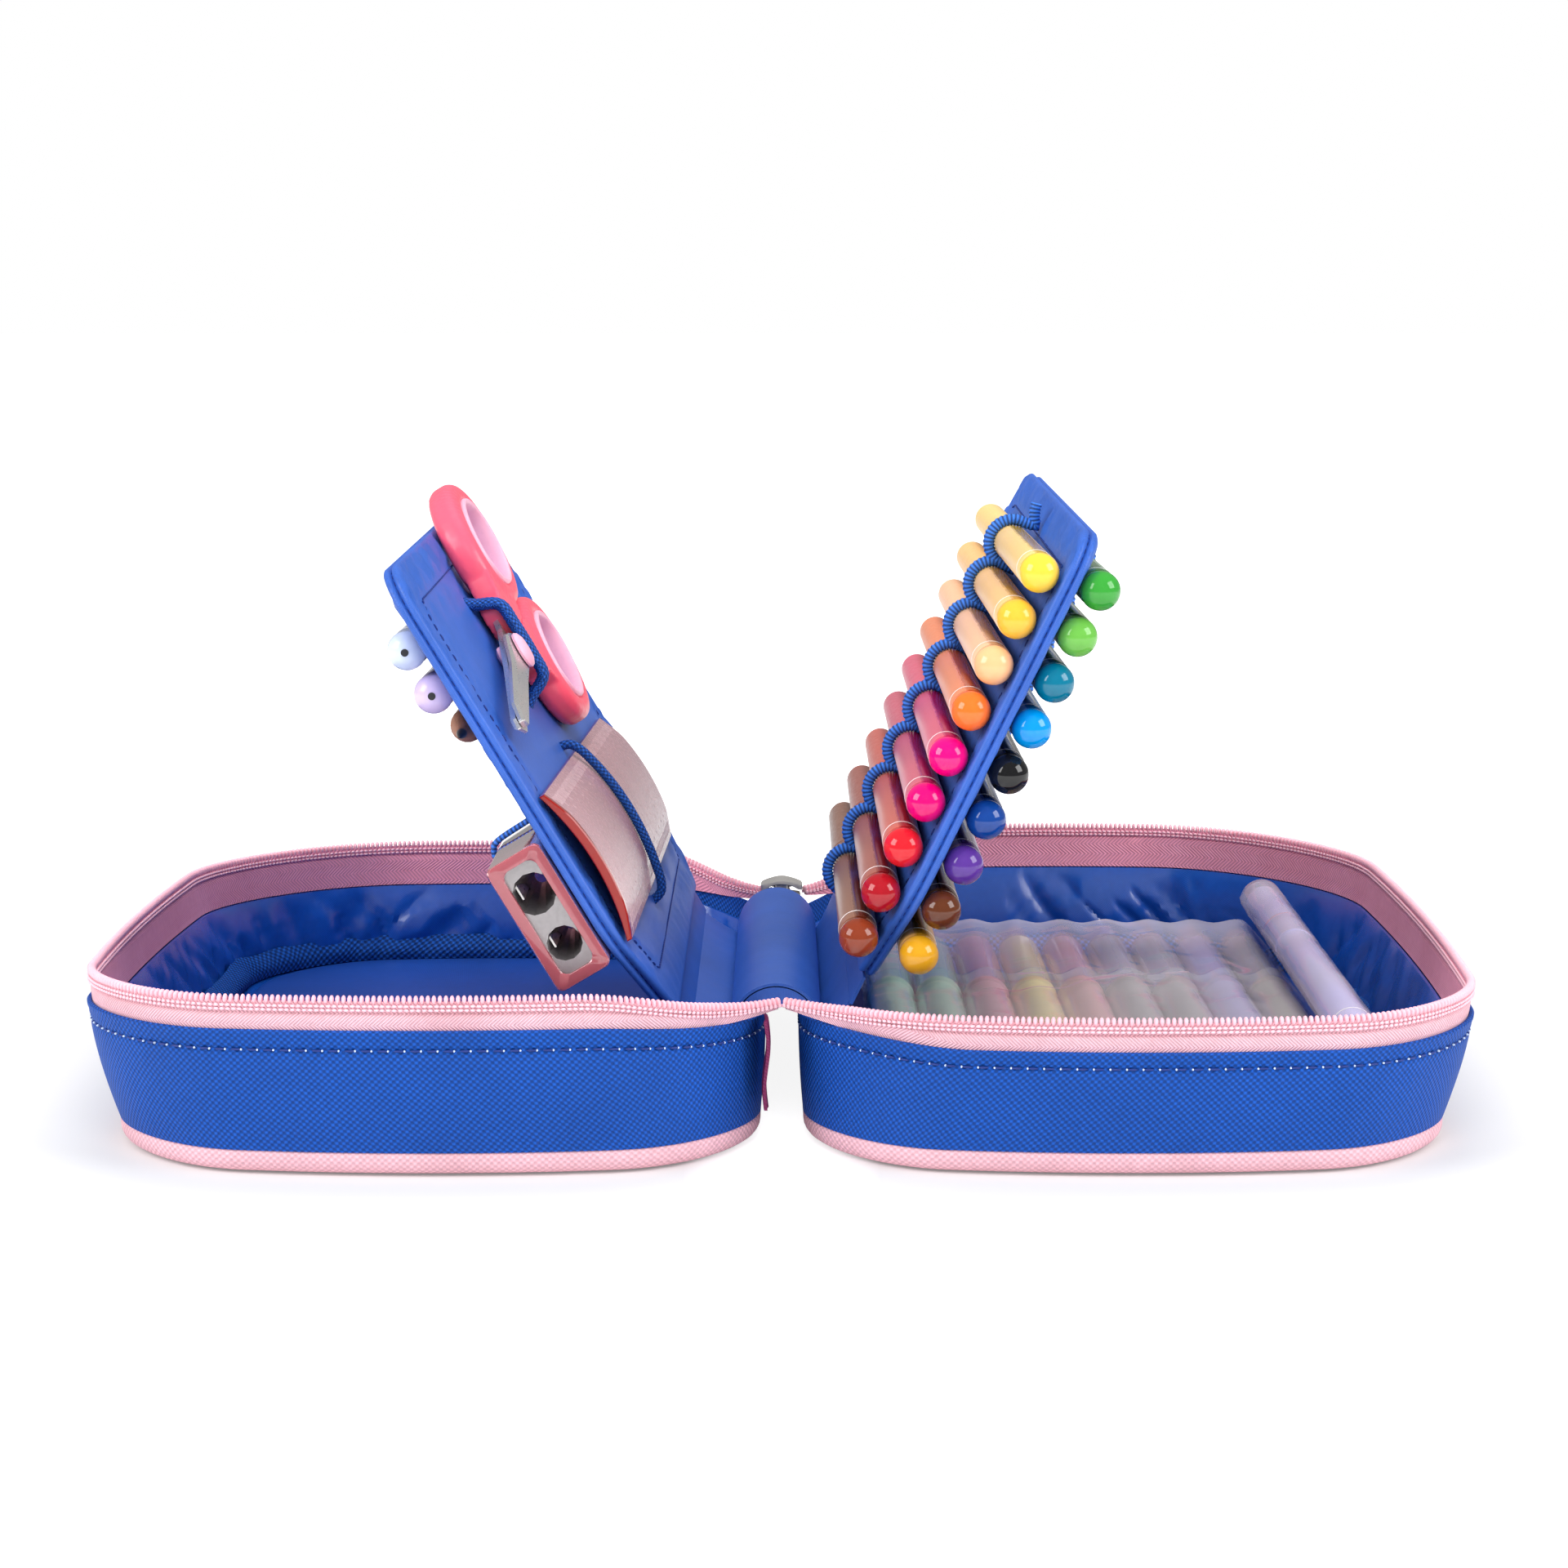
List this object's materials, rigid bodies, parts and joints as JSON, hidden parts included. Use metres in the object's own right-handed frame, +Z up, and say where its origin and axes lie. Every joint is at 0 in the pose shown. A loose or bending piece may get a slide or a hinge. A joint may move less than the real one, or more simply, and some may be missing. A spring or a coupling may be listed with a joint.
{
  "type": "filled pencil case",
  "caption": "Zip-round fabric pencil case opened flat, with two padded flaps of fibre pens, scissors, ruler and sharpener, and a pouch of pens in one tray.",
  "frame": {"origin": "on the surface that the case rests on, midway between the two trays, under the fold", "axes": "+X from the left tray to the right tray, +Y from the zip's fastened end to its slider, +Z up"},
  "size_m": [0.3008, 0.2172, 0.1328],
  "materials": {
    "woven_blue": "woven royal blue polyester",
    "satin_blue": "smooth royal blue lining cloth",
    "woven_pink": "woven pink polyester",
    "zip_tape": "pink zip tape",
    "zip_coil": "pink moulded coil",
    "tab": "plum fabric",
    "slider": "grey cast metal",
    "cord": "blue woven elastic",
    "steel": "ground steel",
    "block": "cast light metal, matt",
    "coral": "coral moulded plastic",
    "blush": "light pink moulded plastic",
    "clear_pink": "clear pink plastic",
    "clear_red": "clear dark red plastic",
    "film": "clear film",
    "pastel": "pastel pen barrels",
    "lilac": "lilac pen barrel",
    "wood": "lacquered pencil",
    "mauve": "mauve pen barrel",
    "ice": "ice blue pen barrel",
    "front_pen_1": "coloured pen barrel",
    "front_pen_2": "coloured pen barrel",
    "front_pen_3": "coloured pen barrel",
    "front_pen_4": "coloured pen barrel",
    "front_pen_5": "coloured pen barrel",
    "front_pen_6": "coloured pen barrel",
    "front_pen_7": "coloured pen barrel",
    "front_pen_8": "coloured pen barrel",
    "front_pen_9": "coloured pen barrel",
    "back_pen_1": "coloured pen barrel",
    "back_pen_2": "coloured pen barrel",
    "back_pen_3": "coloured pen barrel",
    "back_pen_4": "coloured pen barrel",
    "back_pen_5": "coloured pen barrel",
    "back_pen_6": "coloured pen barrel",
    "back_pen_7": "coloured pen barrel",
    "back_pen_8": "coloured pen barrel",
    "back_pen_9": "coloured pen barrel"
  },
  "bodies": {
    "right_flap": {"back_pen_1": "back_pen_1", "back_pen_2": "back_pen_2", "back_pen_3": "back_pen_3", "back_pen_4": "back_pen_4", "back_pen_5": "back_pen_5", "back_pen_6": "back_pen_6", "back_pen_7": "back_pen_7", "back_pen_8": "back_pen_8", "back_pen_9": "back_pen_9", "front_pen_1": "front_pen_1", "front_pen_2": "front_pen_2", "front_pen_3": "front_pen_3", "front_pen_4": "front_pen_4", "front_pen_5": "front_pen_5", "front_pen_6": "front_pen_6", "front_pen_7": "front_pen_7", "front_pen_8": "front_pen_8", "front_pen_9": "front_pen_9", "right_back_elastic": "cord", "right_flap_panel": "satin_blue", "right_front_elastic": "cord", "right_hinge_web": "satin_blue"},
    "left_flap": {"graphite_pencil": "wood", "left_flap_panel": "satin_blue", "left_hinge_web": "satin_blue", "left_pen_1": "mauve", "left_pen_2": "ice", "left_pen_elastic": "cord", "ruler": "clear_red", "ruler_elastic": "cord", "scissors_blade_back": "steel", "scissors_elastic": "cord", "scissors_handle_back": "coral", "scissors_pivot": "blush", "sharpener_blade_large": "steel", "sharpener_blade_small": "steel", "sharpener_block": "block", "sharpener_box": "clear_pink", "sharpener_elastic": "cord"},
    "left_tray": {"left_base_panel": "woven_pink", "left_floor_board": "satin_blue", "left_lining": "satin_blue", "left_side_wall": "woven_blue", "left_zip_tape": "zip_tape", "left_zip_teeth": "zip_coil", "slider_body": "slider", "spine_band": "satin_blue", "spine_tab": "tab"},
    "right_tray": {"pouch": "film", "pouch_pens": "pastel", "right_base_panel": "woven_pink", "right_floor_board": "satin_blue", "right_lining": "satin_blue", "right_side_wall": "woven_blue", "right_zip_tape": "zip_tape", "right_zip_teeth": "zip_coil"},
    "marker": {"pouch_marker": "lilac"},
    "scissors_half": {"scissors_blade_front": "steel", "scissors_handle_front": "coral"},
    "slider_pull": {"slider_pull": "slider"}
  },
  "joints": [
    {"name": "case_fold", "type": "hinge", "parent": "left_tray", "child": "right_tray", "pos_m": [0, 0, 0.0362], "axis": [0, -1, 0], "range_deg": [0, 180], "deforming": ["spine_band", "pouch"]},
    {"name": "left_flap_turn", "type": "hinge", "parent": "left_tray", "child": "left_flap", "pos_m": [-0.0195, 0, 0.0211], "axis": [0, -1, 0], "range_deg": [0, 59]},
    {"name": "right_flap_turn", "type": "hinge", "parent": "right_tray", "child": "right_flap", "pos_m": [0.0146, 0, 0.0291], "axis": [0, 1, 0], "range_deg": [0, 64.2]},
    {"name": "scissors_open", "type": "hinge", "parent": "left_flap", "child": "scissors_half", "pos_m": [-0.06178, -0.032, 0.09603], "axis": [0.8572, 0, 0.515], "range_deg": [-4, 0]},
    {"name": "pull_swing", "type": "hinge", "parent": "left_tray", "child": "slider_pull", "pos_m": [0, 0.086, 0.02932], "axis": [1, 0, 0], "range_deg": [0, 95]},
    {"name": "marker_settle", "type": "slide", "parent": "right_tray", "child": "marker", "axis": [0.6369, 0, -0.7709], "range_m": [0, 0.0157]}
  ],
  "couplings": [
    {"joint": "left_flap_turn", "follows": "case_fold", "ratio": 0.32778},
    {"joint": "right_flap_turn", "follows": "case_fold", "ratio": 0.35667},
    {"joint": "marker_settle", "follows": "case_fold", "m_per_rad": 0.00499}
  ]
}
